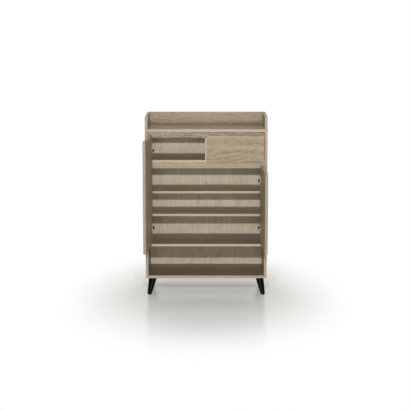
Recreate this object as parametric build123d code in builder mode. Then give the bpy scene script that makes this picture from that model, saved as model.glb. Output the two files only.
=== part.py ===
from build123d import *
import os
from math import cos, sin, radians

os.makedirs("parts", exist_ok=True)

# Shoe cabinet. Millimetres, +Z up, floor at z = 0, the user stands at -Y, +X to the right.

# ---- Overall sizes -------------------------------------------------------------------------
cabinet_width = 800.0
cabinet_depth = 400.0
side_height = 1069.5
leg_height = 115.5

# ---- Boards --------------------------------------------------------------------------------
side_thickness = 18.0
front_thickness = 18.0
board_thickness = 16.0
top_thickness = 18.0
bottom_thickness = 18.0
floor_thickness = 15.0
back_thickness = 3.0
back_inset = 12.0
groove_depth = 6.0
edge_easing = 0.8

# ---- Vertical layout, measured from the carcass bottom ------------------------------------
gallery_height = 79.0
upper_zone_height = 185.5
rail_height = 40.0
finger_gap = 23.0
deck_level = 231.0
lower_shelf_rise = 187.5
upper_shelf_rise = 340.5
shelf_recess = 84.0

# ---- Gaps ----------------------------------------------------------------------------------
side_gap = 4.0
bottom_gap = 3.0
front_seat_gap = 1.0
left_front_edge = -1.0
right_front_edge = 3.0
drawer_front_lap = 14.0
drawer_side_gap = 2.5
shelf_clearance = 1.0

# ---- Concealed hinges: places in the plan of a side panel's front corner ------------------
# x runs inboard from the side's inner face, y runs back from the front plane.
hinge_inset = 100.0
link_turn_ratio = -0.76
arm_pivot = (38.0, 26.0)
cup_pivot = (9.5, 21.6)
left_open_angle = 94.2
right_open_angle = 92.8
pin_radius = 1.25
pin_clearance = 0.05
link_width = 13.0
link_end_radius = 2.2
link_root_radius = 2.6
cheek_gap = 0.5
cheek_thickness = 1.5
ear_gap = 1.5
cup_radius = 17.5
cup_wall = 1.2
cup_depth = 11.5
cup_edge_distance = 20.0
cup_rim = 1.5
ear_wall = 1.5
ear_pad_margin = 1.5
flange_thickness = 1.0
flange_length = 62.0
flange_width = 16.0
flange_corner = 5.0
flange_offset = 6.0
cup_screw_spacing = 48.0
nose_wall = 1.9
nose_clearance = 2.0
arm_foot_radius = 4.0
arm_foot_lead = 3.0
arm_foot_tail = 4.0
hollow_front = (-3.0, -3.0)
hollow_front_radius = 6.0
hollow_rear = (-1.0, -10.0)
hollow_rear_radius = 2.5
plate_thickness = 3.0
plate_lead = 8.0
plate_tail = 26.0
plate_end = 3.0
plate_half_height = 10.0
wing_half_length = 6.0
wing_half_height = 23.0
plate_screw_spacing = 32.0
plate_screw_setback = 37.0

# ---- Fasteners and fittings ---------------------------------------------------------------
cam_radius = 7.5
cam_depth = 12.0
cam_distance = 34.0
cam_setback = 75.0
cam_slot_length = 9.0
cam_slot_width = 1.6
cam_slot_depth = 2.0
bolt_bore_stop = 1.0
bolt_shank_radius = 3.5
bolt_thread_radius = 2.5
bolt_thread_length = 11.0
dowel_radius = 4.0
dowel_side_length = 11.0
dowel_board_length = 19.0
dowel_offset = 32.0
rail_dowel_shares = (0.25, 0.75)
gallery_dowel_shares = (0.3, 0.7)
partition_dowel_front = 100.0
partition_dowel_rear = 60.0
shelf_pin_radius = 2.5
shelf_pin_depth = 9.0
shelf_pin_reach = 8.0
shelf_pin_setback = 30.0
screw_radius = 1.8
screw_length = 10.0
screw_head_radius = 3.5
screw_head_height = 1.5
bumper_radius = 4.0
bumper_thickness = 0.8
bumper_inset = 20.0

# ---- Legs ----------------------------------------------------------------------------------
leg_top_radius = 28.0
leg_foot_radius = 14.0
leg_top_inset = 46.0
leg_foot_inset = 23.0
leg_foot_rounding = 5.0
glide_radius = 8.0
glide_thickness = 3.0
leg_bolt_radius = 4.0
leg_bolt_length = 25.0
insert_radius = 6.0
insert_length = 13.0

# ---- Drawer --------------------------------------------------------------------------------
runner_gap = 12.5
drawer_board = 12.0
drawer_headroom = 2.5
drawer_rear_clearance = 17.0
drawer_floor_gap = 30.0
drawer_bottom_thickness = 3.0
drawer_bottom_rise = 10.0
drawer_groove = 6.0
drawer_cam_radius = 6.0
drawer_cam_depth = 9.0
drawer_cam_setback = 24.0
drawer_cam_shares = (0.3, 0.75)
drawer_bolt_radius = 2.5
runner_sheet = 1.2
runner_rear_clearance = 14.0
runner_flange = 9.5
runner_lip = 10.5
runner_ledge = 8.0
runner_setback = 2.0
runner_screw_front = 60.0
runner_screw_rear = 72.0
runner_screw_drop = 6.0
cabinet_runner_height = 26.0
drawer_runner_height = 18.0
roller_radius = 6.7
roller_width = 6.0
roller_clearance = 0.3
roller_pin_radius = 2.0
roller_bracket_wall = 1.5
roller_setback = 26.0

# ---- Derived places ------------------------------------------------------------------------
half_width = cabinet_width / 2
inner_half = half_width - side_thickness
base_z = leg_height
base_top_z = base_z + bottom_thickness
top_z = base_z + side_height
gallery_z = top_z - gallery_height
ceiling_z = gallery_z - top_thickness
floor_z = ceiling_z - upper_zone_height
lower_rail_z = floor_z - floor_thickness - rail_height
deck_z = base_z + deck_level
front_top_z = ceiling_z - finger_gap
front_bottom_z = deck_z + bottom_gap
drawer_front_z = floor_z - drawer_front_lap
short_top_z = drawer_front_z - finger_gap
left_front_width = inner_half - side_gap + left_front_edge
right_front_width = inner_half - side_gap - right_front_edge
front_recess = front_thickness + front_seat_gap
rail_back = front_recess + board_thickness
board_back = cabinet_depth - back_inset - back_thickness


def swing(point, angle):
    """Turns a plan vector by an opening angle in degrees, towards the user."""
    turn = radians(angle)
    return (point[0] * cos(turn) + point[1] * sin(turn),
            point[1] * cos(turn) - point[0] * sin(turn))


def link_tip(open_angle):
    """Plan place of the cup pin when the door stands at an opening angle."""
    arm = (cup_pivot[0] - arm_pivot[0], cup_pivot[1] - arm_pivot[1])
    turned = swing(arm, link_turn_ratio * open_angle)
    return (arm_pivot[0] + turned[0], arm_pivot[1] + turned[1])


def door_origin(open_angle):
    """Plan place of the outer corner of the door's hinge edge."""
    tip = link_tip(open_angle)
    offset = swing((side_gap - cup_pivot[0], -cup_pivot[1]), open_angle)
    return (tip[0] + offset[0], tip[1] + offset[1])


def door_reach(width, open_angle):
    """How far an open door stands out in front of the front plane."""
    start = door_origin(open_angle)
    corners = [swing((width, depth), open_angle) for depth in (0, front_thickness)]
    return -min(start[1] + corner[1] for corner in corners)


left_reach = door_reach(left_front_width, left_open_angle)
right_reach = door_reach(right_front_width, right_open_angle)
front_y = (max(left_reach, right_reach) - cabinet_depth) / 2

# Everything that depends on the side: -1 is left, +1 is right.
open_angles = {-1: left_open_angle, 1: right_open_angle}
door_tops = {-1: front_top_z, 1: short_top_z}
door_widths = {-1: left_front_width, 1: right_front_width}
side_names = {-1: "left", 1: "right"}


def hinge_heights(side):
    return (front_bottom_z + hinge_inset, door_tops[side] - hinge_inset)


def corner_plane(side, height):
    """Plan of a side panel's front corner: local x inboard, local y back."""
    return Plane((side * inner_half, front_y, height), x_dir=(-side, 0, 0), z_dir=(0, 0, -side))


def turned_plane(side, height, place, angle):
    """A plan plane with its origin at a corner-plan place, turned by an opening angle."""
    corner = corner_plane(side, height)
    along = swing((1, 0), angle)
    x_dir = corner.x_dir * along[0] + corner.y_dir * along[1]
    origin = corner.from_local_coords((place[0], place[1], 0))
    return Plane(origin, x_dir=x_dir, z_dir=corner.z_dir)


def door_plane(side, height):
    """Local x along the door from its hinge edge, local y from its outer to its inner face."""
    angle = open_angles[side]
    return turned_plane(side, height, door_origin(angle), angle)


def link_plane(side, height):
    """Local x as the closed link's corner plan, with its origin on the arm pin."""
    return turned_plane(side, height, arm_pivot, link_turn_ratio * open_angles[side])


def inner_face(side, height, along):
    """The door's inner face, with local z out of the face."""
    frame = door_plane(side, height)
    origin = frame.from_local_coords((along, front_thickness, 0))
    return Plane(origin, x_dir=frame.x_dir, z_dir=frame.y_dir)


def save(piece, label):
    piece.part.label = label
    export_step(piece.part, f"parts/{label}.step")


def block(x_range, y_range, z_range, mode=Mode.ADD):
    """A box between two x, two setbacks from the front plane and two heights."""
    with BuildSketch(Plane.XY.offset(z_range[0])) as outline:
        with Locations((x_range[0], front_y + y_range[0])):
            Rectangle(x_range[1] - x_range[0], y_range[1] - y_range[0], align=(Align.MIN, Align.MIN))
    extrude(outline.sketch, amount=z_range[1] - z_range[0], mode=mode)


def rods_x(places, radius, x_range, mode=Mode.ADD):
    """Round bars or bores along X at (setback, height) places."""
    with BuildSketch(Plane.YZ.offset(x_range[0])) as discs:
        with Locations(*[(front_y + setback, height) for setback, height in places]):
            Circle(radius)
    extrude(discs.sketch, amount=x_range[1] - x_range[0], mode=mode)


def rods_z(places, radius, z_range, mode=Mode.ADD):
    """Round bars or bores along Z at (x, setback) places."""
    with BuildSketch(Plane.XY.offset(z_range[0])) as discs:
        with Locations(*[(x, front_y + setback) for x, setback in places]):
            Circle(radius)
    extrude(discs.sketch, amount=z_range[1] - z_range[0], mode=mode)


def ease_front(piece, along=Axis.X):
    """Breaks the two long front edges of a board with a small chamfer."""
    chamfer(piece.edges().filter_by(along).group_by(Axis.Y)[0], edge_easing)


def span(side, near, far):
    """An x range measured inboard from a side's inner face (negative is into the side)."""
    ends = (side * (inner_half - near), side * (inner_half - far))
    return (min(ends), max(ends))


# ---- Joints of the carcass: cams and dowels ------------------------------------------------
fixed_boards = ((ceiling_z, top_thickness), (floor_z - floor_thickness, floor_thickness),
                (deck_z - board_thickness, board_thickness), (base_z, bottom_thickness))
cam_setbacks = (cam_setback, board_back - cam_setback)
dowel_setbacks = (cam_setback + dowel_offset, board_back - cam_setback - dowel_offset)
board_axes = [level + thickness / 2 for level, thickness in fixed_boards]
bolt_places = [(setback, axis) for axis in board_axes for setback in cam_setbacks]
board_dowels = [(setback, axis) for axis in board_axes for setback in dowel_setbacks]
rail_axis = front_recess + board_thickness / 2
rail_dowels = [(rail_axis, level + rail_height * share)
               for level in (ceiling_z - rail_height, lower_rail_z) for share in rail_dowel_shares]
gallery_dowels = [(cabinet_depth - board_thickness / 2, gallery_z + gallery_height * share)
                  for share in gallery_dowel_shares]
dowel_places = board_dowels + rail_dowels + gallery_dowels
partition_dowels = [(0, partition_dowel_front), (0, board_back - partition_dowel_rear)]

shelf_levels = {"lower_shelf": deck_z + lower_shelf_rise - board_thickness,
                "upper_shelf": deck_z + upper_shelf_rise - board_thickness}
shelf_front = shelf_recess + shelf_pin_setback
shelf_pin_places = [(setback, level - shelf_pin_radius) for level in shelf_levels.values()
                    for setback in (shelf_front, board_back - shelf_pin_setback)]

# ---- Drawer places -------------------------------------------------------------------------
partition_face = board_thickness / 2
drawer_left = partition_face + runner_gap
drawer_right = inner_half - runner_gap
drawer_z = floor_z + drawer_floor_gap
drawer_back = board_back - drawer_rear_clearance
roller_axis_z = drawer_z - roller_radius - roller_clearance - runner_sheet
runner_lip_z = roller_axis_z - roller_radius - roller_clearance - runner_sheet
runner_start = front_recess + runner_setback
runner_end = board_back - runner_rear_clearance
runner_screw_setbacks = (front_recess + runner_screw_front, runner_end - runner_screw_rear)
runner_screw_z = runner_lip_z + cabinet_runner_height - runner_screw_drop


def drill_boards():
    """Cam, bolt and dowel bores of the board being built."""
    for side in (-1, 1):
        rods_x(bolt_places, bolt_shank_radius, span(side, 0, cam_distance - bolt_bore_stop), Mode.SUBTRACT)
        rods_x(dowel_places, dowel_radius, span(side, 0, dowel_board_length), Mode.SUBTRACT)


def drill_cams(level):
    places = [(side * (inner_half - cam_distance), setback)
              for side in (-1, 1) for setback in cam_setbacks]
    rods_z(places, cam_radius, (level, level + cam_depth), Mode.SUBTRACT)


# ---- Side panels ---------------------------------------------------------------------------
for side in (-1, 1):
    with BuildPart() as side_panel:
        block(span(side, 0, -side_thickness), (0, cabinet_depth), (base_z, top_z))
        chamfer(side_panel.edges(), edge_easing)
        rods_x(bolt_places, bolt_thread_radius, span(side, 0, -bolt_thread_length), Mode.SUBTRACT)
        rods_x(dowel_places, dowel_radius, span(side, 0, -dowel_side_length), Mode.SUBTRACT)
        rods_x(shelf_pin_places, shelf_pin_radius, span(side, 0, -shelf_pin_depth), Mode.SUBTRACT)
        block(span(side, 0, -groove_depth), (board_back, board_back + back_thickness),
              (base_top_z - groove_depth, ceiling_z + groove_depth), Mode.SUBTRACT)
        plate_holes = [(plate_screw_setback, height + offset) for height in hinge_heights(side)
                       for offset in (-plate_screw_spacing / 2, plate_screw_spacing / 2)]
        rods_x(plate_holes, screw_radius, span(side, 0, -screw_length), Mode.SUBTRACT)
        if side == 1:
            runner_holes = [(setback, runner_screw_z) for setback in runner_screw_setbacks]
            rods_x(runner_holes, screw_radius, span(side, 0, -screw_length), Mode.SUBTRACT)
    save(side_panel, f"{side_names[side]}_side_panel")

# ---- Full-width boards ---------------------------------------------------------------------
inner_width = (-inner_half, inner_half)
back_groove = (board_back, board_back + back_thickness)

with BuildPart() as top_panel:
    block(inner_width, (0, cabinet_depth), (ceiling_z, gallery_z))
    ease_front(top_panel)
    drill_boards()
    drill_cams(ceiling_z)
    block(inner_width, back_groove, (ceiling_z, ceiling_z + groove_depth), Mode.SUBTRACT)
    rods_z(partition_dowels, dowel_radius, (ceiling_z, ceiling_z + dowel_side_length), Mode.SUBTRACT)
save(top_panel, "top_panel")

with BuildPart() as gallery_back_board:
    block(inner_width, (cabinet_depth - board_thickness, cabinet_depth), (gallery_z, top_z))
    chamfer(gallery_back_board.edges().filter_by(Axis.X).group_by(Axis.Z)[-1], edge_easing)
    drill_boards()
save(gallery_back_board, "gallery_back_board")

leg_tops = [(side * (half_width - leg_top_inset), setback) for side in (-1, 1)
            for setback in (leg_top_inset, cabinet_depth - leg_top_inset)]

with BuildPart() as bottom_panel:
    block(inner_width, (0, cabinet_depth), (base_z, base_top_z))
    ease_front(bottom_panel)
    drill_boards()
    drill_cams(base_z)
    block(inner_width, back_groove, (base_top_z - groove_depth, base_top_z), Mode.SUBTRACT)
    rods_z(leg_tops, insert_radius, (base_z, base_z + insert_length), Mode.SUBTRACT)
save(bottom_panel, "bottom_panel")

with BuildPart() as deck_panel:
    block(inner_width, (0, board_back), (deck_z - board_thickness, deck_z))
    ease_front(deck_panel)
    drill_boards()
    drill_cams(deck_z - board_thickness)
save(deck_panel, "deck_panel")

with BuildPart() as compartment_floor:
    block(inner_width, (front_recess, board_back), (floor_z - floor_thickness, floor_z))
    ease_front(compartment_floor)
    drill_boards()
    drill_cams(floor_z - floor_thickness)
    rods_z(partition_dowels, dowel_radius, (floor_z - dowel_side_length, floor_z), Mode.SUBTRACT)
save(compartment_floor, "compartment_floor")

for name, level in (("upper_rail", ceiling_z - rail_height), ("lower_rail", lower_rail_z)):
    with BuildPart() as rail:
        block(inner_width, (front_recess, rail_back), (level, level + rail_height))
        ease_front(rail)
        drill_boards()
    save(rail, name)

with BuildPart() as centre_partition:
    block((-partition_face, partition_face), (front_recess, board_back), (floor_z, ceiling_z))
    block((-partition_face, partition_face), (front_recess, rail_back),
          (ceiling_z - rail_height, ceiling_z), Mode.SUBTRACT)
    rods_z(partition_dowels, dowel_radius, (floor_z, floor_z + dowel_board_length), Mode.SUBTRACT)
    rods_z(partition_dowels, dowel_radius, (ceiling_z - dowel_board_length, ceiling_z), Mode.SUBTRACT)
    rods_x([(setback, runner_screw_z) for setback in runner_screw_setbacks], screw_radius,
           (partition_face - screw_length, partition_face), Mode.SUBTRACT)
save(centre_partition, "centre_partition")

for name, level in shelf_levels.items():
    with BuildPart() as shelf:
        block((-inner_half + shelf_clearance, inner_half - shelf_clearance),
              (shelf_recess, board_back - shelf_clearance), (level, level + board_thickness))
        chamfer(shelf.edges(), edge_easing)
    save(shelf, name)

with BuildPart() as back_panel:
    block((-inner_half - groove_depth, inner_half + groove_depth), back_groove,
          (base_top_z - groove_depth, ceiling_z + groove_depth))
save(back_panel, "back_panel")

# ---- Carcass fittings ----------------------------------------------------------------------
with BuildPart() as shelf_pins:
    for side in (-1, 1):
        rods_x(shelf_pin_places, shelf_pin_radius, span(side, shelf_pin_reach, -shelf_pin_depth))
save(shelf_pins, "shelf_pins")

with BuildPart() as cam_locks:
    for level, _ in fixed_boards:
        cam_places = [(side * (inner_half - cam_distance), setback)
                      for side in (-1, 1) for setback in cam_setbacks]
        rods_z(cam_places, cam_radius, (level, level + cam_depth))
        with BuildSketch(Plane.XY.offset(level)) as slots:
            with Locations(*[(x, front_y + setback) for x, setback in cam_places]):
                Rectangle(cam_slot_length, cam_slot_width)
                Rectangle(cam_slot_width, cam_slot_length)
        extrude(slots.sketch, amount=cam_slot_depth, mode=Mode.SUBTRACT)
save(cam_locks, "cam_locks")

with BuildPart() as cam_bolts:
    for side in (-1, 1):
        rods_x(bolt_places, bolt_thread_radius, span(side, 0, -bolt_thread_length))
        rods_x(bolt_places, bolt_shank_radius, span(side, 0, cam_distance - cam_radius))
save(cam_bolts, "cam_bolts")

with BuildPart() as wood_dowels:
    for side in (-1, 1):
        rods_x(dowel_places, dowel_radius, span(side, dowel_board_length, -dowel_side_length))
    rods_z(partition_dowels, dowel_radius, (floor_z - dowel_side_length, floor_z + dowel_board_length))
    rods_z(partition_dowels, dowel_radius,
           (ceiling_z - dowel_board_length, ceiling_z + dowel_side_length))
save(wood_dowels, "wood_dowels")

upper_strike_z = (front_top_z + ceiling_z - rail_height) / 2
lower_strike_z = (short_top_z + lower_rail_z) / 2
bumper_places = [(left_front_edge - bumper_inset, upper_strike_z),
                 (right_front_edge + bumper_inset, upper_strike_z),
                 (inner_half - bumper_inset, upper_strike_z),
                 (right_front_edge + bumper_inset, lower_strike_z)]
with BuildPart() as strike_bumpers:
    with BuildSketch(Plane.XZ.offset(-front_y - front_recess)) as pads:
        with Locations(*bumper_places):
            Circle(bumper_radius)
    extrude(pads.sketch, amount=bumper_thickness)
save(strike_bumpers, "strike_bumpers")

# ---- Legs ----------------------------------------------------------------------------------
leg_ends = {"front": (leg_top_inset, leg_foot_inset),
            "rear": (cabinet_depth - leg_top_inset, cabinet_depth - leg_foot_inset)}
for side in (-1, 1):
    for place, (top_setback, foot_setback) in leg_ends.items():
        with BuildPart() as leg:
            with BuildSketch(Plane.XY.offset(glide_thickness)):
                with Locations((side * (half_width - leg_foot_inset), front_y + foot_setback)):
                    Circle(leg_foot_radius)
            with BuildSketch(Plane.XY.offset(base_z)):
                with Locations((side * (half_width - leg_top_inset), front_y + top_setback)):
                    Circle(leg_top_radius)
            loft()
            fillet(leg.edges().group_by(Axis.Z)[0], leg_foot_rounding)
            rods_z([(side * (half_width - leg_top_inset), top_setback)], leg_bolt_radius,
                   (base_z - leg_bolt_length, base_z), Mode.SUBTRACT)
        save(leg, f"{place}_{side_names[side]}_leg")

with BuildPart() as leg_bolts:
    rods_z(leg_tops, leg_bolt_radius, (base_z - leg_bolt_length, base_z + insert_length))
save(leg_bolts, "leg_bolts")

with BuildPart() as leg_inserts:
    rods_z(leg_tops, insert_radius, (base_z, base_z + insert_length))
    rods_z(leg_tops, leg_bolt_radius, (base_z, base_z + insert_length), Mode.SUBTRACT)
save(leg_inserts, "leg_inserts")

leg_feet = [(side * (half_width - leg_foot_inset), setback) for side in (-1, 1)
            for setback in (leg_foot_inset, cabinet_depth - leg_foot_inset)]
with BuildPart() as leg_glides:
    rods_z(leg_feet, glide_radius, (0, glide_thickness))
save(leg_glides, "leg_glides")

# ---- Doors and their hinges ----------------------------------------------------------------
cup_pin_place = (cup_pivot[0] - side_gap, cup_pivot[1])
ear_start = link_width / 2 + ear_gap
cheek_start = link_width / 2 + cheek_gap
ear_radius = pin_radius + ear_wall
nose_radius = pin_radius + nose_wall
plate_rear = plate_screw_setback + plate_tail
arm_foot_x = plate_thickness + arm_foot_radius

for side in (-1, 1):
    name = side_names[side]
    heights = hinge_heights(side)
    door_bottom = front_bottom_z
    door_top = door_tops[side]
    door_middle = door_plane(side, (door_bottom + door_top) / 2)
    corners = [corner_plane(side, height) for height in heights]
    frames = [door_plane(side, height) for height in heights]
    links = [link_plane(side, height) for height in heights]
    cup_faces = [inner_face(side, height, cup_edge_distance) for height in heights]
    screw_faces = [inner_face(side, height, cup_edge_distance + flange_offset)
                   for height in heights]
    screw_offsets = [(0, -cup_screw_spacing / 2), (0, cup_screw_spacing / 2)]

    with BuildPart() as door:
        with BuildSketch(door_middle):
            Rectangle(door_widths[side], front_thickness, align=(Align.MIN, Align.MIN))
        extrude(amount=(door_top - door_bottom) / 2, both=True)
        chamfer(door.edges(), edge_easing)
        with BuildSketch(*cup_faces):
            Circle(cup_radius)
        extrude(amount=-cup_depth, mode=Mode.SUBTRACT)
        with BuildSketch(*screw_faces):
            with Locations(*screw_offsets):
                Circle(screw_radius)
        extrude(amount=-screw_length, mode=Mode.SUBTRACT)
    save(door, f"{name}_door")

    with BuildPart() as hinge_cups:
        with BuildSketch(*cup_faces):
            Circle(cup_radius)
        extrude(amount=-cup_depth)
        with BuildSketch(*cup_faces):
            Circle(cup_radius + cup_rim)
            with Locations((flange_offset, 0)):
                RectangleRounded(flange_width, flange_length, flange_corner)
            with Locations((cup_pin_place[0] - cup_edge_distance, 0)):
                Rectangle(2 * ear_radius, 2 * (ear_start + cheek_thickness + ear_pad_margin))
        extrude(amount=flange_thickness)
        for way in (-1, 1):
            with BuildSketch(*[frame.offset(way * ear_start) for frame in frames]):
                with Locations(cup_pin_place):
                    Circle(ear_radius)
                with Locations((cup_pin_place[0], front_thickness)):
                    Rectangle(2 * ear_radius, cup_pin_place[1] - front_thickness,
                              align=(Align.CENTER, Align.MIN))
            extrude(amount=way * cheek_thickness)
        with BuildSketch(*cup_faces):
            Circle(cup_radius - cup_wall)
        extrude(amount=-(cup_depth - cup_wall), mode=Mode.SUBTRACT)
        with BuildSketch(*cup_faces):
            Circle(cup_radius - cup_wall)
        extrude(amount=flange_thickness, mode=Mode.SUBTRACT)
        with BuildSketch(*screw_faces):
            with Locations(*screw_offsets):
                Circle(screw_radius)
        extrude(amount=flange_thickness, mode=Mode.SUBTRACT)
        with BuildSketch(*frames):
            with Locations(cup_pin_place):
                Circle(pin_radius)
        extrude(amount=ear_start + cheek_thickness, both=True, mode=Mode.SUBTRACT)
    save(hinge_cups, f"{name}_hinge_cups")

    with BuildPart() as cup_pins:
        with BuildSketch(*frames):
            with Locations(cup_pin_place):
                Circle(pin_radius)
        extrude(amount=ear_start + cheek_thickness, both=True)
    save(cup_pins, f"{name}_cup_pins")

    with BuildPart() as cup_screws:
        with BuildSketch(*screw_faces):
            with Locations(*screw_offsets):
                Circle(screw_radius)
        extrude(amount=-screw_length)
        with BuildSketch(*screw_faces):
            with Locations(*screw_offsets):
                Circle(screw_radius)
        extrude(amount=flange_thickness)
        with BuildSketch(*[face.offset(flange_thickness) for face in screw_faces]):
            with Locations(*screw_offsets):
                Circle(screw_head_radius)
        extrude(amount=screw_head_height)
    save(cup_screws, f"{name}_cup_screws")

    with BuildPart() as hinge_links:
        arm_to_cup = (cup_pivot[0] - arm_pivot[0], cup_pivot[1] - arm_pivot[1])
        with BuildSketch(*links):
            Circle(link_root_radius)
            with Locations(arm_to_cup):
                Circle(link_end_radius)
            make_hull()
            with Locations((0, 0), arm_to_cup):
                Circle(pin_radius + pin_clearance, mode=Mode.SUBTRACT)
        extrude(amount=link_width / 2, both=True)
    save(hinge_links, f"{name}_hinge_links")

    with BuildPart() as arm_pins:
        with BuildSketch(*corners):
            with Locations(arm_pivot):
                Circle(pin_radius)
        extrude(amount=cheek_start + cheek_thickness, both=True)
    save(arm_pins, f"{name}_arm_pins")

    with BuildPart() as hinge_arms:
        with BuildSketch(*corners):
            with Locations(arm_pivot):
                Circle(nose_radius)
            with Locations((arm_foot_x, plate_screw_setback + arm_foot_lead),
                           (arm_foot_x, plate_rear - arm_foot_tail)):
                Circle(arm_foot_radius)
            make_hull()
        extrude(amount=cheek_start + cheek_thickness, both=True)
        with BuildSketch(*corners):
            with Locations(arm_pivot):
                Circle(nose_radius + nose_clearance)
            with Locations((arm_foot_x + hollow_front[0], plate_screw_setback + hollow_front[1])):
                Circle(hollow_front_radius)
            with Locations((arm_foot_x + hollow_rear[0], plate_rear + hollow_rear[1])):
                Circle(hollow_rear_radius)
            make_hull()
        extrude(amount=cheek_start, both=True, mode=Mode.SUBTRACT)
        with BuildSketch(*corners):
            with Locations(arm_pivot):
                Circle(pin_radius)
        extrude(amount=cheek_start + cheek_thickness, both=True, mode=Mode.SUBTRACT)
    save(hinge_arms, f"{name}_hinge_arms")

    with BuildPart() as hinge_plates:
        for height in heights:
            block(span(side, 0, plate_thickness),
                  (plate_screw_setback - plate_lead, plate_rear + plate_end),
                  (height - plate_half_height, height + plate_half_height))
            block(span(side, 0, plate_thickness),
                  (plate_screw_setback - wing_half_length, plate_screw_setback + wing_half_length),
                  (height - wing_half_height, height + wing_half_height))
        plate_holes = [(plate_screw_setback, height + offset) for height in heights
                       for offset in (-plate_screw_spacing / 2, plate_screw_spacing / 2)]
        rods_x(plate_holes, screw_radius, span(side, 0, plate_thickness), Mode.SUBTRACT)
    save(hinge_plates, f"{name}_hinge_plates")

    with BuildPart() as plate_screws:
        rods_x(plate_holes, screw_radius, span(side, plate_thickness, -screw_length))
        rods_x(plate_holes, screw_head_radius,
               span(side, plate_thickness, plate_thickness + screw_head_height))
    save(plate_screws, f"{name}_plate_screws")

# ---- Drawer box ----------------------------------------------------------------------------
drawer_top_z = ceiling_z - rail_height - drawer_headroom
drawer_levels = (drawer_z, drawer_top_z)
drawer_bottom_z = drawer_z + drawer_bottom_rise
drawer_bottom_levels = (drawer_bottom_z, drawer_bottom_z + drawer_bottom_thickness)
drawer_inside = (drawer_left + drawer_board, drawer_right - drawer_board)
drawer_bottom_x = (drawer_inside[0] - drawer_groove, drawer_inside[1] + drawer_groove)
drawer_bottom_y = (front_thickness - drawer_groove, drawer_back - drawer_board + drawer_groove)
drawer_walls = {-1: (drawer_left, drawer_inside[0]), 1: (drawer_inside[1], drawer_right)}
drawer_cam_heights = [drawer_z + (drawer_top_z - drawer_z) * share for share in drawer_cam_shares]
drawer_cam_places = [(front_thickness + drawer_cam_setback, height) for height in drawer_cam_heights]
wall_axes = {side: (drawer_walls[side][0] + drawer_walls[side][1]) / 2 for side in (-1, 1)}
cam_ranges = {-1: (drawer_inside[0] - drawer_cam_depth, drawer_inside[0]),
              1: (drawer_inside[1], drawer_inside[1] + drawer_cam_depth)}


def drawer_bolt_rods(mode):
    """Bolts, or their bores, from the drawer front into the two drawer sides."""
    with BuildSketch(Plane.XZ.offset(-front_y - front_thickness + dowel_side_length)) as discs:
        with Locations(*[(wall_axes[side], height) for side in (-1, 1)
                         for height in drawer_cam_heights]):
            Circle(drawer_bolt_radius)
    length = dowel_side_length + drawer_cam_setback - drawer_cam_radius
    extrude(discs.sketch, amount=-length, mode=mode)


with BuildPart() as drawer_front:
    block((right_front_edge, inner_half - drawer_side_gap), (0, front_thickness),
          (drawer_front_z, front_top_z))
    chamfer(drawer_front.edges(), edge_easing)
    block(drawer_bottom_x, (front_thickness - drawer_groove, front_thickness),
          drawer_bottom_levels, Mode.SUBTRACT)
    drawer_bolt_rods(Mode.SUBTRACT)
save(drawer_front, "drawer_front")

for side in (-1, 1):
    with BuildPart() as drawer_side:
        block(drawer_walls[side], (front_thickness, drawer_back), drawer_levels)
        block(drawer_bottom_x, (front_thickness, drawer_bottom_y[1]), drawer_bottom_levels,
              Mode.SUBTRACT)
        rods_x(drawer_cam_places, drawer_cam_radius, cam_ranges[side], Mode.SUBTRACT)
        drawer_bolt_rods(Mode.SUBTRACT)
    save(drawer_side, f"drawer_{side_names[side]}_side")

with BuildPart() as drawer_back_board:
    block(drawer_inside, (drawer_back - drawer_board, drawer_back), drawer_levels)
    block(drawer_inside, (drawer_back - drawer_board, drawer_bottom_y[1]), drawer_bottom_levels,
          Mode.SUBTRACT)
save(drawer_back_board, "drawer_back")

with BuildPart() as drawer_bottom:
    block(drawer_bottom_x, drawer_bottom_y, drawer_bottom_levels)
save(drawer_bottom, "drawer_bottom")

with BuildPart() as drawer_cams:
    for side in (-1, 1):
        rods_x(drawer_cam_places, drawer_cam_radius, cam_ranges[side])
save(drawer_cams, "drawer_cams")

with BuildPart() as drawer_bolts:
    drawer_bolt_rods(Mode.ADD)
save(drawer_bolts, "drawer_bolts")

# ---- Roller runners ------------------------------------------------------------------------
# Each runner fills the gap between a carcass wall and a drawer wall. The wall ranges below run
# from the carcass face (0) towards the drawer face (runner_gap).
runner_walls = {-1: partition_face, 1: inner_half}


def gap_span(side, near, far):
    """An x range inside a runner gap, measured from the carcass wall towards the drawer."""
    start = runner_walls[side]
    ends = (start - side * near, start - side * far)
    return (min(ends), max(ends))


cabinet_roller_place = (runner_start + roller_setback, roller_axis_z)
drawer_roller_place = (drawer_back - roller_setback, roller_axis_z)
roller_near = runner_gap / 2 - roller_width / 2
roller_far = runner_gap / 2 + roller_width / 2
flange_z = drawer_z - runner_sheet

for side in (-1, 1):
    name = side_names[side]
    with BuildPart() as cabinet_runner:
        block(gap_span(side, 0, runner_sheet), (runner_start, runner_end),
              (runner_lip_z, runner_lip_z + cabinet_runner_height))
        block(gap_span(side, 0, runner_lip), (runner_start, runner_end),
              (runner_lip_z, runner_lip_z + runner_sheet))
        rods_x([(setback, runner_screw_z) for setback in runner_screw_setbacks], screw_radius,
               gap_span(side, 0, runner_sheet), Mode.SUBTRACT)
    save(cabinet_runner, f"{name}_cabinet_runner")
    with BuildPart() as drawer_runner:
        block(gap_span(side, runner_gap - runner_sheet, runner_gap),
              (front_thickness, drawer_back), (flange_z, flange_z + drawer_runner_height))
        block(gap_span(side, runner_gap - runner_flange, runner_gap + runner_ledge),
              (front_thickness, drawer_back), (flange_z, flange_z + runner_sheet))
        block(gap_span(side, runner_gap - runner_sheet, runner_gap),
              (drawer_roller_place[0] - roller_radius, drawer_back),
              (roller_axis_z - roller_pin_radius - roller_bracket_wall, flange_z))
    save(drawer_runner, f"{name}_drawer_runner")

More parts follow.
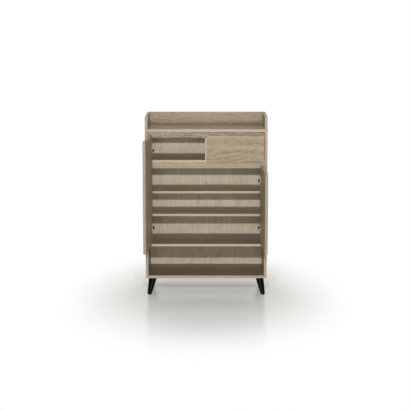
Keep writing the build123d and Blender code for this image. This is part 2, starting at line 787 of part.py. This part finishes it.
with BuildPart() as cabinet_roller_pins:
    for side in (-1, 1):
        rods_x([cabinet_roller_place], roller_pin_radius, gap_span(side, runner_sheet, roller_far))
save(cabinet_roller_pins, "cabinet_roller_pins")

with BuildPart() as drawer_roller_pins:
    for side in (-1, 1):
        rods_x([drawer_roller_place], roller_pin_radius,
               gap_span(side, roller_near, runner_gap - runner_sheet))
save(drawer_roller_pins, "drawer_roller_pins")

for name, place in (("cabinet_rollers", cabinet_roller_place), ("drawer_rollers", drawer_roller_place)):
    with BuildPart() as rollers:
        for side in (-1, 1):
            rods_x([place], roller_radius, gap_span(side, roller_near, roller_far))
            rods_x([place], roller_pin_radius + pin_clearance,
                   gap_span(side, roller_near, roller_far), Mode.SUBTRACT)
    save(rollers, name)

with BuildPart() as runner_screws:
    for side in (-1, 1):
        screw_places = [(setback, runner_screw_z) for setback in runner_screw_setbacks]
        rods_x(screw_places, screw_radius, gap_span(side, -screw_length, runner_sheet))
        rods_x(screw_places, screw_head_radius,
               gap_span(side, runner_sheet, runner_sheet + screw_head_height))
save(runner_screws, "runner_screws")
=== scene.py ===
import bpy
import math
from mathutils import Matrix, Vector


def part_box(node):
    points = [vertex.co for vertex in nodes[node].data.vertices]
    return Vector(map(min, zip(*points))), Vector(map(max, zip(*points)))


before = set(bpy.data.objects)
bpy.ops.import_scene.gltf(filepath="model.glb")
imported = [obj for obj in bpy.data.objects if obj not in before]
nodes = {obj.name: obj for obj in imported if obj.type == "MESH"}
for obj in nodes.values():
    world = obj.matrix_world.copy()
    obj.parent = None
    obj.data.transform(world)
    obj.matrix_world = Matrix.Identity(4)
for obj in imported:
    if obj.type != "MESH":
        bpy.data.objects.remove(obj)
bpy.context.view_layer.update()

# ---- Places read from the frame -------------------------------------------------------------
FRONT_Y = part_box("left_side_panel")[0].y


# ---- Small helpers for node trees -----------------------------------------------------------
# The range that most values of a noise lie in, and a wider one.
SPREAD = (0.3, 0.7)
WIDE_SPREAD = (0.2, 0.8)
FIRST_PART = 0.6
SECOND_PART = 0.4


class Tree:
    """Builds a node tree: every method adds one node and returns its output socket."""

    def __init__(self, node_tree):
        self.tree = node_tree
        self.tree.nodes.clear()

    def node(self, kind, **settings):
        made = self.tree.nodes.new(kind)
        for name, value in settings.items():
            setattr(made, name, value)
        return made

    def feed(self, socket, value):
        if isinstance(value, bpy.types.NodeSocket):
            self.tree.links.new(value, socket)
        elif value is not None:
            socket.default_value = value

    def math(self, operation, a, b=None, clamp=False):
        made = self.node("ShaderNodeMath", operation=operation, use_clamp=clamp)
        self.feed(made.inputs[0], a)
        self.feed(made.inputs[1], b)
        return made.outputs[0]

    def ramp(self, value, stops):
        made = self.node("ShaderNodeValToRGB")
        band = made.color_ramp
        while len(band.elements) < len(stops):
            band.elements.new(0.5)
        for element, (place, colour) in zip(band.elements, stops):
            element.position = place
            element.color = (*colour, 1.0)
        self.feed(made.inputs["Fac"], value)
        return made.outputs["Color"]

    def remap(self, value, low, high, to_low=0.0, to_high=1.0, smooth=False):
        made = self.node("ShaderNodeMapRange")
        if smooth:
            made.interpolation_type = "SMOOTHSTEP"
        self.feed(made.inputs["Value"], value)
        for name, number in (("From Min", low), ("From Max", high),
                             ("To Min", to_low), ("To Max", to_high)):
            made.inputs[name].default_value = number
        return made.outputs["Result"]

    def noise(self, vector, scale, detail=2.0, roughness=0.5, distortion=0.0):
        made = self.node("ShaderNodeTexNoise")
        self.feed(made.inputs["Vector"], vector)
        made.inputs["Scale"].default_value = scale
        made.inputs["Detail"].default_value = detail
        made.inputs["Roughness"].default_value = roughness
        made.inputs["Distortion"].default_value = distortion
        return made.outputs["Fac"]

    def two_noises(self, first, second):
        """A share from 0 to 1 in which the first noise counts for more."""
        return self.math("ADD", self.remap(first, *SPREAD, 0.0, FIRST_PART),
                         self.remap(second, *SPREAD, 0.0, SECOND_PART))

    def stretch(self, vector, scale, shift=(0, 0, 0)):
        made = self.node("ShaderNodeMapping")
        self.feed(made.inputs["Vector"], vector)
        made.inputs["Scale"].default_value = scale
        made.inputs["Location"].default_value = shift
        return made.outputs["Vector"]

    def mix(self, share, a, b, blend="MIX"):
        made = self.node("ShaderNodeMix", data_type="RGBA", blend_type=blend)
        self.feed(made.inputs[0], share)
        self.feed(made.inputs[6], a)
        self.feed(made.inputs[7], b)
        return made.outputs[2]

    def bump(self, height, strength, distance):
        made = self.node("ShaderNodeBump")
        made.inputs["Strength"].default_value = strength
        made.inputs["Distance"].default_value = distance
        self.feed(made.inputs["Height"], height)
        return made.outputs["Normal"]

    def surface(self, colour, roughness, normal, metallic=0.0, specular=0.5):
        shader = self.node("ShaderNodeBsdfPrincipled")
        self.feed(shader.inputs["Base Color"], colour)
        self.feed(shader.inputs["Roughness"], roughness)
        self.feed(shader.inputs["Normal"], normal)
        shader.inputs["Metallic"].default_value = metallic
        shader.inputs["Specular IOR Level"].default_value = specular
        end = self.node("ShaderNodeOutputMaterial")
        self.tree.links.new(shader.outputs["BSDF"], end.inputs["Surface"])


def new_material(name):
    material = bpy.data.materials.new(name)
    material.use_nodes = True
    return material, Tree(material.node_tree)


# The standard curve between screen values and linear light.
SCREEN_MAX = 255
SRGB_TOE = 0.04045
SRGB_TOE_SLOPE = 12.92
SRGB_OFFSET = 0.055
SRGB_POWER = 2.4


def srgb(red, green, blue):
    """A colour given as 0-255 screen values, in linear light."""
    def linear(value):
        share = value / SCREEN_MAX
        if share <= SRGB_TOE:
            return share / SRGB_TOE_SLOPE
        return ((share + SRGB_OFFSET) / (1 + SRGB_OFFSET)) ** SRGB_POWER
    return (linear(red), linear(green), linear(blue))


# ---- Oak laminate ---------------------------------------------------------------------------
FACE_PALETTE = (srgb(172, 155, 132), srgb(159, 141, 118), srgb(96, 78, 56))
# The inside boards get a darker copy of the face laminate: painted shade for the light that reaches less
# far into the cabinet.
SHADED_INSIDE_PALETTE = (srgb(153, 134, 108), srgb(142, 122, 96), srgb(92, 73, 52))
SHADED_INSIDE = dict(palette=SHADED_INSIDE_PALETTE, sheen=0.45)
BACK_PALETTE = (srgb(200, 188, 167), srgb(187, 174, 152), srgb(139, 123, 98))
BACK_GREEN = srgb(172, 173, 146)
BACK_PINK = srgb(203, 184, 164)
EDGE_DARK = srgb(168, 152, 134)
EDGE_LIGHT = srgb(192, 177, 159)

# Noise scales per metre, along the grain and across it.
WANDER_SCALE = (1.5, 3.2, 1.0)
RIPPLE_SCALE = (12.0, 36.0, 1.0)
PORE_SCALE = (30.0, 900.0, 1.0)
BRUSH_SCALE = (420.0, 40.0, 1.0)
PATCH_SCALE = (2.6, 7.0, 1.0)
TINT_SCALE = (0.7, 9.0, 1.0)
BROAD_ALONG, BROAD_ACROSS = 1.3, 26.0
FINE_ALONG, FINE_ACROSS = 8.0, 220.0
DASH_ALONG, DASH_ACROSS = 24.0, 150.0
# Growth rings: the slope and depth of their axis below the face, in metres, and their dark part.
AXIS_DIP = 0.16
AXIS_DEPTH = (-0.03, 0.05)
RIPPLE_REACH = 0.005
RING_RISE = (0.45, 0.95)
RING_FALL = (0.0, 0.15)
# Dashes and patches where the rings fade, and how much of them stays there.
BREAK_RANGE = (0.36, 0.6)
BREAK_LEAST = 0.25
PATCH_RANGE = (0.38, 0.62)
PATCH_LEAST = 0.2
# How much each kind of streak lightens and darkens the wood.
STREAK_RANGE = (0.3, 0.75)
BROAD_SHARE = (-0.2, 0.3)
FINE_SHARE = (-0.16, 0.22)
DASH_SHARE = (-0.16, 0.24)
PORE_RANGE = (0.56, 0.72)
PORE_DARKNESS = 0.12
BRUSH_DARKNESS = 0.05
MID_PLACE = 0.2
BAND_WAVER = 0.008
GREEN_RANGE = (0.52, 0.68)
PINK_RANGE = (0.48, 0.32)
PORE_RELIEF = 0.7
FINE_RELIEF = 0.5
WOOD_BUMP = 0.3
WOOD_RELIEF = 0.0002
WOOD_ROUGHNESS = (0.36, 0.46)
TAPE_STREAKS = (5.0, 260.0, 260.0)
TAPE_CLOUDS = (2.5, 14.0, 14.0)
TAPE_BUMP = 0.2
TAPE_RELIEF = 0.0001
TAPE_ROUGHNESS = 0.42
TAPE_SPECULAR = 0.4
# A face belongs to the edging tape when it lies on the board's rim and looks outward.
RIM_REACH = 0.0009
RIM_LEAN = 0.6
# Two opposite normals count as one: the one that doesn't lean against this direction.
UPWARD = Vector((1.0, 1.7, 2.9))
SQUARE = 0.01


def board_axes(mesh):
    """Long direction and across direction of a board, from the areas it shows."""
    areas = {}
    for face in mesh.polygons:
        normal = face.normal
        if normal.dot(UPWARD) < 0:
            normal = -normal
        key = tuple(round(value, 2) for value in normal)
        total, mean = areas.get(key, (0.0, Vector()))
        areas[key] = (total + face.area, mean + normal * face.area)
    ranked = sorted(areas.values(), key=lambda entry: -entry[0])
    face_normal = ranked[0][1].normalized()
    sides = [entry for entry in ranked[1:] if abs(entry[1].normalized().dot(face_normal)) < SQUARE]
    across = sides[0][1].normalized()
    along = face_normal.cross(across).normalized()
    return along, across


def extent(mesh, direction):
    places = [vertex.co.dot(direction) for vertex in mesh.vertices]
    return min(places), max(places)


def grain_frame(tree, along, across, shift):
    """Object coordinates turned so that X runs with the grain and Y across it."""
    normal = along.cross(across)
    turn = Matrix((along, across, normal)).to_euler("XYZ")
    place = tree.node("ShaderNodeTexCoord").outputs["Object"]
    made = tree.node("ShaderNodeMapping")
    tree.feed(made.inputs["Vector"], place)
    made.inputs["Rotation"].default_value = turn
    made.inputs["Location"].default_value = shift
    return made.outputs["Vector"]


def oak(name, along, across, shift, palette=FACE_PALETTE, figure=0.5, cathedral=0.5, ring=44.0,
        bend=0.11, drift=0.0, painted_light_scale=1.0, sheen=0.2, coarse=1.0, foot_band=None):
    """Printed oak grain: growth rings broken into pores, streaks, dashes and cross brushing.

    figure is the streaks' contrast, cathedral the rings' contrast, ring the rings per metre,
    bend how far the rings' axis wanders, drift the share of green and pink, coarse widens the streaks.
    The brightness scale multiplies the colours: painted light and shade for how much light falls on the
    board.
    """
    material, tree = new_material(name)
    grain = grain_frame(tree, along, across, shift)
    parts = tree.node("ShaderNodeSeparateXYZ")
    tree.feed(parts.inputs[0], grain)
    # Growth rings: distance from a trunk axis that wanders slowly below the face.
    wander = tree.noise(tree.stretch(grain, WANDER_SCALE), 1.6, 3.0, 0.55)
    ripple = tree.noise(tree.stretch(grain, RIPPLE_SCALE), 1.0, 2.0, 0.6)
    side = tree.math("ADD", parts.outputs["Y"], tree.remap(wander, *WIDE_SPREAD, -bend, bend))
    slope = tree.math("MULTIPLY", parts.outputs["X"], AXIS_DIP)
    depth = tree.math("ADD", slope, tree.remap(wander, *SPREAD, *AXIS_DEPTH))
    squares = tree.math("ADD", tree.math("MULTIPLY", side, side), tree.math("MULTIPLY", depth, depth))
    unevenness = tree.remap(ripple, 0.0, 1.0, -RIPPLE_REACH, RIPPLE_REACH)
    radius = tree.math("ADD", tree.math("SQRT", squares), unevenness)
    rings = tree.math("FRACT", tree.math("MULTIPLY", radius, ring))
    rise = tree.remap(rings, *RING_RISE, 0.0, 1.0, smooth=True)
    fall = tree.remap(rings, *RING_FALL, 1.0, 0.0, smooth=True)
    ring_line = tree.math("MAXIMUM", rise, fall)
    # Straight streaks, from broad to fine, short dashes and thin dark pores.
    broad = tree.noise(tree.stretch(grain, (BROAD_ALONG, BROAD_ACROSS / coarse, 1.0)), 1.0, 3.0, 0.55)
    fine = tree.noise(tree.stretch(grain, (FINE_ALONG, FINE_ACROSS / coarse, 1.0)), 1.0, 3.0, 0.6)
    dashes = tree.noise(tree.stretch(grain, (DASH_ALONG, DASH_ACROSS / coarse, 1.0)), 1.0, 3.0, 0.65)
    pores = tree.noise(tree.stretch(grain, PORE_SCALE), 1.0, 2.0, 0.5)
    brushing = tree.noise(tree.stretch(grain, BRUSH_SCALE), 1.0, 1.0, 0.5)
    pore_line = tree.remap(pores, *PORE_RANGE, 0.0, 1.0)
    patch = tree.noise(tree.stretch(grain, PATCH_SCALE), 1.0, 2.0, 0.5)
    broken = tree.remap(dashes, *BREAK_RANGE, BREAK_LEAST, 1.0)
    dark = tree.math("MULTIPLY", tree.math("MULTIPLY", ring_line, broken),
                     tree.remap(patch, *PATCH_RANGE, PATCH_LEAST * cathedral, cathedral))
    layers = ((broad, STREAK_RANGE, BROAD_SHARE), (fine, STREAK_RANGE, FINE_SHARE),
              (dashes, SPREAD, DASH_SHARE))
    for streaks, span, (lighter, darker) in layers:
        dark = tree.math("ADD", dark, tree.remap(streaks, *span, lighter * figure, darker * figure))
    dark = tree.math("ADD", dark, tree.math("MULTIPLY", pore_line, PORE_DARKNESS))
    dark = tree.math("ADD", dark, tree.remap(brushing, *SPREAD, -BRUSH_DARKNESS, BRUSH_DARKNESS))
    if foot_band:
        # A dark band along the board's foot, running the whole length, with a wavering upper border.
        place, width, strength = foot_band
        waver = tree.remap(wander, *SPREAD, -BAND_WAVER, BAND_WAVER)
        level = tree.math("ADD", parts.outputs["Y"], waver)
        inside = tree.remap(level, place - width, place + width, 1.0, 0.0, smooth=True)
        dark = tree.math("ADD", dark, tree.math("MULTIPLY", inside, strength))
    # Painted light and shade: the colours are scaled per board to stand in for how much light reaches it.
    low, mid, deep = [tuple(channel * painted_light_scale for channel in colour) for colour in palette]
    colour = tree.ramp(dark, ((0.0, low), (MID_PLACE, mid), (1.0, deep)))
    if drift:
        tint = tree.noise(tree.stretch(grain, TINT_SCALE), 1.0, 2.0, 0.5)
        colour = tree.mix(tree.remap(tint, *GREEN_RANGE, 0.0, drift), colour, (*BACK_GREEN, 1.0))
        colour = tree.mix(tree.remap(tint, *PINK_RANGE, 0.0, drift), colour, (*BACK_PINK, 1.0))
    sunk = tree.math("ADD", tree.math("MULTIPLY", pore_line, PORE_RELIEF),
                     tree.math("MULTIPLY", fine, FINE_RELIEF))
    normal = tree.bump(tree.math("SUBTRACT", 1.0, sunk), WOOD_BUMP, WOOD_RELIEF)
    roughness = tree.remap(fine, *WIDE_SPREAD, *WOOD_ROUGHNESS)
    tree.surface(colour, roughness, normal, specular=sheen)
    return material


def edge_band(name, along, across, shift, painted_light_scale):
    """The pale edging tape: fine straight grain of even gloss."""
    material, tree = new_material(name)
    grain = grain_frame(tree, along, across, shift)
    streaks = tree.noise(tree.stretch(grain, TAPE_STREAKS), 1.0, 3.0, 0.6)
    slow = tree.noise(tree.stretch(grain, TAPE_CLOUDS), 1.0, 2.0, 0.5)
    share = tree.two_noises(streaks, slow)
    # Painted shade: the tape's colours are scaled per board, darker on edges that get less light.
    light, dark = [tuple(channel * painted_light_scale for channel in colour) for colour in (EDGE_LIGHT, EDGE_DARK)]
    colour = tree.ramp(share, ((0.0, light), (1.0, dark)))
    normal = tree.bump(streaks, TAPE_BUMP, TAPE_RELIEF)
    tree.surface(colour, TAPE_ROUGHNESS, normal, specular=TAPE_SPECULAR)
    return material


def give_board(name, shift, band=True, band_painted_light_scale=1.0, **look):
    """Grain along the board's length, with edging tape on its four narrow sides."""
    mesh = nodes[name].data
    along, across = board_axes(mesh)
    mesh.materials.clear()
    if "foot_band" in look:
        rise, width, strength = look["foot_band"]
        look["foot_band"] = (extent(mesh, across)[0] + shift[1] + rise, width, strength)
    mesh.materials.append(oak(f"oak_{name}", along, across, shift, **look))
    for face in mesh.polygons:
        face.material_index = 0
    if not band:
        return
    mesh.materials.append(edge_band(f"edging_{name}", along, across, shift, band_painted_light_scale))
    limits = [(direction, *extent(mesh, direction)) for direction in (along, across)]
    for face in mesh.polygons:
        for direction, low, high in limits:
            lean = face.normal.dot(direction)
            reach = face.center.dot(direction)
            outside = min(abs(reach - low), abs(reach - high)) < RIM_REACH
            if abs(lean) > RIM_LEAN and outside:
                face.material_index = 1


# Each board's shift moves it to a piece of the pattern of its own.
# The brightness scales paint light and shade per board: shelves and compartment floor lighter; deck,
# bottom, top panel and doors darker; the edging of sides, bottom and doors darker, as the light falls on
# them.
BOARDS = {
    "left_side_panel": dict(shift=(0.3, 0.7, 0.1), band_painted_light_scale=0.88, bend=0.05, cathedral=0.3),
    "right_side_panel": dict(shift=(1.9, 0.2, 0.4), band_painted_light_scale=0.88, bend=0.05, cathedral=0.3),
    "top_panel": dict(shift=(0.8, 1.3, 0.2), sheen=0.3, figure=0.9, cathedral=0.4, painted_light_scale=0.76),
    "gallery_back_board": dict(shift=(2.4, 0.9, 0.7), figure=0.9, cathedral=0.3,
                               foot_band=(0.017, 0.004, 0.3)),
    "bottom_panel": dict(SHADED_INSIDE, shift=(3.1, 0.4, 0.3), band_painted_light_scale=0.86,
                         figure=1.2, cathedral=0.5, painted_light_scale=0.78),
    "deck_panel": dict(SHADED_INSIDE, shift=(0.4, 2.6, 0.6), figure=1.1, cathedral=0.4, painted_light_scale=0.82),
    "upper_rail": dict(shift=(1.2, 0.0, 0.9), figure=1.4, cathedral=2.8, ring=70.0, painted_light_scale=1.02),
    "lower_rail": dict(shift=(4.2, 1.1, 0.9), figure=0.5, cathedral=0.3),
    "compartment_floor": dict(SHADED_INSIDE, shift=(2.2, 3.3, 0.2), figure=0.8, cathedral=0.3, painted_light_scale=1.14),
    "centre_partition": dict(SHADED_INSIDE, shift=(1.5, 2.4, 0.8), cathedral=0.3),
    "upper_shelf": dict(SHADED_INSIDE, shift=(0.9, 4.1, 0.5), figure=0.8, cathedral=0.3, painted_light_scale=1.14),
    "lower_shelf": dict(SHADED_INSIDE, shift=(3.7, 2.0, 0.1), figure=0.8, cathedral=0.3, painted_light_scale=1.16),
    "left_door": dict(shift=(5.3, 0.6, 0.4), band_painted_light_scale=0.75, bend=0.05, cathedral=0.3, painted_light_scale=0.87),
    "right_door": dict(shift=(6.1, 1.4, 0.2), band_painted_light_scale=0.73, bend=0.05, cathedral=0.3, painted_light_scale=0.87),
    "drawer_front": dict(shift=(0.1, -0.98, 0.3), figure=0.9, cathedral=0.3, ring=50.0, bend=0.05),
}
PLAIN_BOARDS = {
    "back_panel": dict(shift=(2.0, 5.2, 0.4), palette=BACK_PALETTE, figure=0.7, cathedral=0.15,
                       bend=0.05, coarse=3.5, drift=0.2),
    "drawer_left_side": dict(SHADED_INSIDE, shift=(1.0, 6.0, 0.4), cathedral=0.2),
    "drawer_right_side": dict(SHADED_INSIDE, shift=(3.0, 6.4, 0.4), cathedral=0.2),
    "drawer_back": dict(SHADED_INSIDE, shift=(5.0, 6.9, 0.4), cathedral=0.2),
    "drawer_bottom": dict(shift=(7.0, 7.2, 0.4), palette=BACK_PALETTE, cathedral=0.2),
}
for board_name, look in BOARDS.items():
    give_board(board_name, **look)
for board_name, look in PLAIN_BOARDS.items():
    give_board(board_name, band=False, **look)


# ---- Metals, plastics and small fittings ----------------------------------------------------
SCRATCH_SCALE = (60.0, 60.0, 2400.0)
METAL_RELIEF = 0.00005
MOULDED_RELIEF = 0.00008
MOULDED_CLOUD = 14.0
METAL_BUMP = 0.08
METAL_GLOSS_SPREAD = (0.8, 1.3)
MOULDED_GLOSS_SPREAD = (0.85, 1.15)


def worn_metal(name, light, dark, roughness, grain=220.0):
    """Plated or cast metal with faint mottling and fine scratches."""
    material, tree = new_material(name)
    place = tree.node("ShaderNodeTexCoord").outputs["Object"]
    cloud = tree.noise(place, grain, 4.0, 0.6)
    scratch = tree.noise(tree.stretch(place, SCRATCH_SCALE), 1.0, 2.0, 0.5)
    share = tree.two_noises(cloud, scratch)
    colour = tree.ramp(share, ((0.0, light), (1.0, dark)))
    rough = tree.remap(share, 0.0, 1.0, *[roughness * part for part in METAL_GLOSS_SPREAD])
    tree.surface(colour, rough, tree.bump(scratch, METAL_BUMP, METAL_RELIEF), metallic=1.0)
    return material


def moulded(name, light, dark, roughness, specular=0.5, scale=300.0, relief=0.1):
    """Lacquer, plastic or felt: a slight colour drift and a surface texture."""
    material, tree = new_material(name)
    place = tree.node("ShaderNodeTexCoord").outputs["Object"]
    cloud = tree.noise(place, MOULDED_CLOUD, 3.0, 0.5)
    fine = tree.noise(place, scale, 3.0, 0.6)
    share = tree.two_noises(cloud, fine)
    colour = tree.ramp(share, ((0.0, light), (1.0, dark)))
    rough = tree.remap(share, 0.0, 1.0, *[roughness * part for part in MOULDED_GLOSS_SPREAD])
    tree.surface(colour, rough, tree.bump(fine, relief, MOULDED_RELIEF), specular=specular)
    return material


def paint(material, *names):
    for name in names:
        mesh = nodes[name].data
        mesh.materials.clear()
        mesh.materials.append(material)
        for face in mesh.polygons:
            face.material_index = 0


SIDES = ("left", "right")
paint(worn_metal("nickel_plate", srgb(214, 206, 192), srgb(182, 174, 158), 0.3),
      *[f"{side}_hinge_{part}" for side in SIDES for part in ("cups", "plates")])
# Painted shade: the hinge arms, links and pins are dark brown metal standing in for the shadowed hollow of
# the hinge; real ones are nickel-plated steel.
paint(worn_metal("hinge_painted_shade", srgb(52, 38, 28), srgb(30, 21, 15), 0.6),
      *[f"{side}_{part}" for side in SIDES
        for part in ("hinge_arms", "hinge_links", "cup_pins", "arm_pins")])
paint(worn_metal("zinc_steel", srgb(196, 197, 198), srgb(160, 161, 163), 0.35),
      *[f"{side}_{part}" for side in SIDES for part in ("cup_screws", "plate_screws")],
      "runner_screws", "cabinet_roller_pins", "drawer_roller_pins", "leg_bolts", "leg_inserts",
      "cam_bolts", "drawer_bolts", "shelf_pins")
paint(worn_metal("cast_zinc", srgb(176, 177, 180), srgb(138, 139, 142), 0.5, 500.0),
      "cam_locks", "drawer_cams")
paint(moulded("runner_coat", srgb(236, 236, 234), srgb(222, 222, 219), 0.4),
      *[f"{side}_{part}_runner" for side in SIDES for part in ("cabinet", "drawer")])
paint(moulded("black_lacquer", srgb(3, 3, 4), srgb(7, 7, 8), 0.22, specular=0.16, relief=0.05),
      *[f"{place}_{side}_leg" for place in ("front", "rear") for side in SIDES])
paint(moulded("nylon", srgb(232, 232, 228), srgb(214, 214, 208), 0.45), "cabinet_rollers", "drawer_rollers")
paint(moulded("clear_bumper", srgb(168, 156, 136), srgb(150, 138, 118), 0.3), "strike_bumpers")
paint(moulded("felt", srgb(74, 69, 64), srgb(48, 44, 41), 0.95, specular=0.1, relief=0.8, scale=900.0),
      "leg_glides")
paint(moulded("beech", srgb(214, 182, 138), srgb(190, 154, 110), 0.6, specular=0.3, relief=0.3),
      "wood_dowels")

# ---- Camera ---------------------------------------------------------------------------------
CAMERA_PLACE = (0.0101, -8.4931, 1.9865)
CAMERA_PITCH = 9.24
CAMERA_YAW = 0.1215
CAMERA_LENS = 114.84
CAMERA_SENSOR = 36.0
camera_data = bpy.data.cameras.new("camera")
camera_data.sensor_width = CAMERA_SENSOR
camera_data.lens = CAMERA_LENS
camera = bpy.data.objects.new("camera", camera_data)
camera.location = CAMERA_PLACE
camera.rotation_euler = (math.radians(90 - CAMERA_PITCH), 0, math.radians(CAMERA_YAW))
bpy.context.scene.collection.objects.link(camera)
bpy.context.scene.camera = camera


# ---- Floor: a pale disc that fades out into the white surroundings --------------------------
WHITE = (1, 1, 1, 1)
FLOOR_RADIUS = 3.0
FLOOR_SEGMENTS = 96
FLOOR_DROP = 0.0005
FLOOR_COLOUR = (0.775, 0.785, 0.81, 1)
FLOOR_ROUGHNESS = 0.16
FLOOR_SPECULAR = 0.25
FLOOR_GLOW = 0.08
# The fade follows an oval, longer from front to back.
FADE_OVAL = (1 / 1.05, 1 / 1.8, 1.0)
FADE_SHIFT = (0, 0.05, 0)
FADE_START = 0.30
FADE_END = 0.95


def make_floor():
    mesh = bpy.data.meshes.new("floor")
    ring = [(FLOOR_RADIUS * math.cos(turn), FLOOR_RADIUS * math.sin(turn), 0)
            for turn in (2 * math.pi * step / FLOOR_SEGMENTS for step in range(FLOOR_SEGMENTS))]
    mesh.from_pydata(ring, [], [tuple(range(FLOOR_SEGMENTS))])
    floor = bpy.data.objects.new("floor", mesh)
    floor.location = (0, 0, -FLOOR_DROP)
    bpy.context.scene.collection.objects.link(floor)
    material, tree = new_material("floor_paper")
    place = tree.node("ShaderNodeTexCoord").outputs["Object"]
    stretched = tree.stretch(place, FADE_OVAL, FADE_SHIFT)
    length = tree.node("ShaderNodeVectorMath", operation="LENGTH")
    tree.feed(length.inputs[0], stretched)
    fade = tree.remap(length.outputs["Value"], FADE_START, FADE_END, 0.0, 1.0, smooth=True)
    shader = tree.node("ShaderNodeBsdfPrincipled")
    shader.inputs["Base Color"].default_value = FLOOR_COLOUR
    shader.inputs["Roughness"].default_value = FLOOR_ROUGHNESS
    shader.inputs["Specular IOR Level"].default_value = FLOOR_SPECULAR
    shader.inputs["Emission Color"].default_value = WHITE
    seen = tree.node("ShaderNodeLightPath").outputs["Is Camera Ray"]
    tree.feed(shader.inputs["Emission Strength"], tree.math("MULTIPLY", seen, FLOOR_GLOW))
    clear = tree.node("ShaderNodeBsdfTransparent")
    blend = tree.node("ShaderNodeMixShader")
    tree.feed(blend.inputs[0], fade)
    tree.tree.links.new(shader.outputs[0], blend.inputs[1])
    tree.tree.links.new(clear.outputs[0], blend.inputs[2])
    end = tree.node("ShaderNodeOutputMaterial")
    tree.tree.links.new(blend.outputs[0], end.inputs["Surface"])
    mesh.materials.append(material)


make_floor()

# ---- Light ----------------------------------------------------------------------------------
KEY_HEIGHT = 1.8
KEY_DISTANCE = 3.65
KEY_SIZE = 0.09
KEY_AIM = 0.6
KEY_POWER = 87.0
FILL_HEIGHT = 0.75
FILL_DISTANCE = 4.5
FILL_SIZE = (2.6, 1.0)
FILL_POWER = 46.0
AMBIENT = 0.115
AMBIENT_ABOVE = 0.75
AMBIENT_BEHIND = 0.6
AMBIENT_COLOUR = (1.0, 0.97, 0.88, 1)
ABOVE_POWER = 3.0
BEHIND_RANGE = (-0.05, 0.7)


def area_light(name, place, target, power, shape, size, size_y=None):
    light = bpy.data.lights.new(name, "AREA")
    light.shape = shape
    light.size = size
    if size_y:
        light.size_y = size_y
    light.energy = power
    lamp = bpy.data.objects.new(name, light)
    lamp.location = place
    lamp.rotation_euler = (Vector(target) - Vector(place)).to_track_quat("-Z", "Y").to_euler()
    bpy.context.scene.collection.objects.link(lamp)


def make_light():
    area_light("key", (0, FRONT_Y - KEY_DISTANCE, KEY_HEIGHT), (0, FRONT_Y, KEY_AIM), KEY_POWER,
               "DISK", KEY_SIZE)
    area_light("fill", (0, FRONT_Y - FILL_DISTANCE, FILL_HEIGHT), (0, FRONT_Y, FILL_HEIGHT), FILL_POWER,
               "RECTANGLE", *FILL_SIZE)
    world = bpy.data.worlds.new("studio")
    world.use_nodes = True
    bpy.context.scene.world = world
    tree = Tree(world.node_tree)
    seen = tree.node("ShaderNodeLightPath").outputs["Is Camera Ray"]
    ambient = tree.node("ShaderNodeBackground")
    ambient.inputs["Color"].default_value = AMBIENT_COLOUR
    outward = tree.node("ShaderNodeSeparateXYZ")
    tree.feed(outward.inputs[0], tree.node("ShaderNodeTexCoord").outputs["Generated"])
    rise = tree.math("POWER", tree.math("MAXIMUM", outward.outputs["Z"], 0.0), ABOVE_POWER)
    above = tree.remap(rise, 0.0, 1.0, AMBIENT, AMBIENT_ABOVE)
    behind = tree.remap(outward.outputs["Y"], *BEHIND_RANGE, 0.0, AMBIENT_BEHIND, smooth=True)
    tree.feed(ambient.inputs["Strength"], tree.math("ADD", above, behind))
    white = tree.node("ShaderNodeBackground")
    white.inputs["Color"].default_value = WHITE
    white.inputs["Strength"].default_value = 1.0
    blend = tree.node("ShaderNodeMixShader")
    tree.feed(blend.inputs[0], seen)
    tree.tree.links.new(ambient.outputs[0], blend.inputs[1])
    tree.tree.links.new(white.outputs[0], blend.inputs[2])
    end = tree.node("ShaderNodeOutputWorld")
    tree.tree.links.new(blend.outputs[0], end.inputs["Surface"])


make_light()
bpy.context.scene.view_settings.view_transform = "Standard"
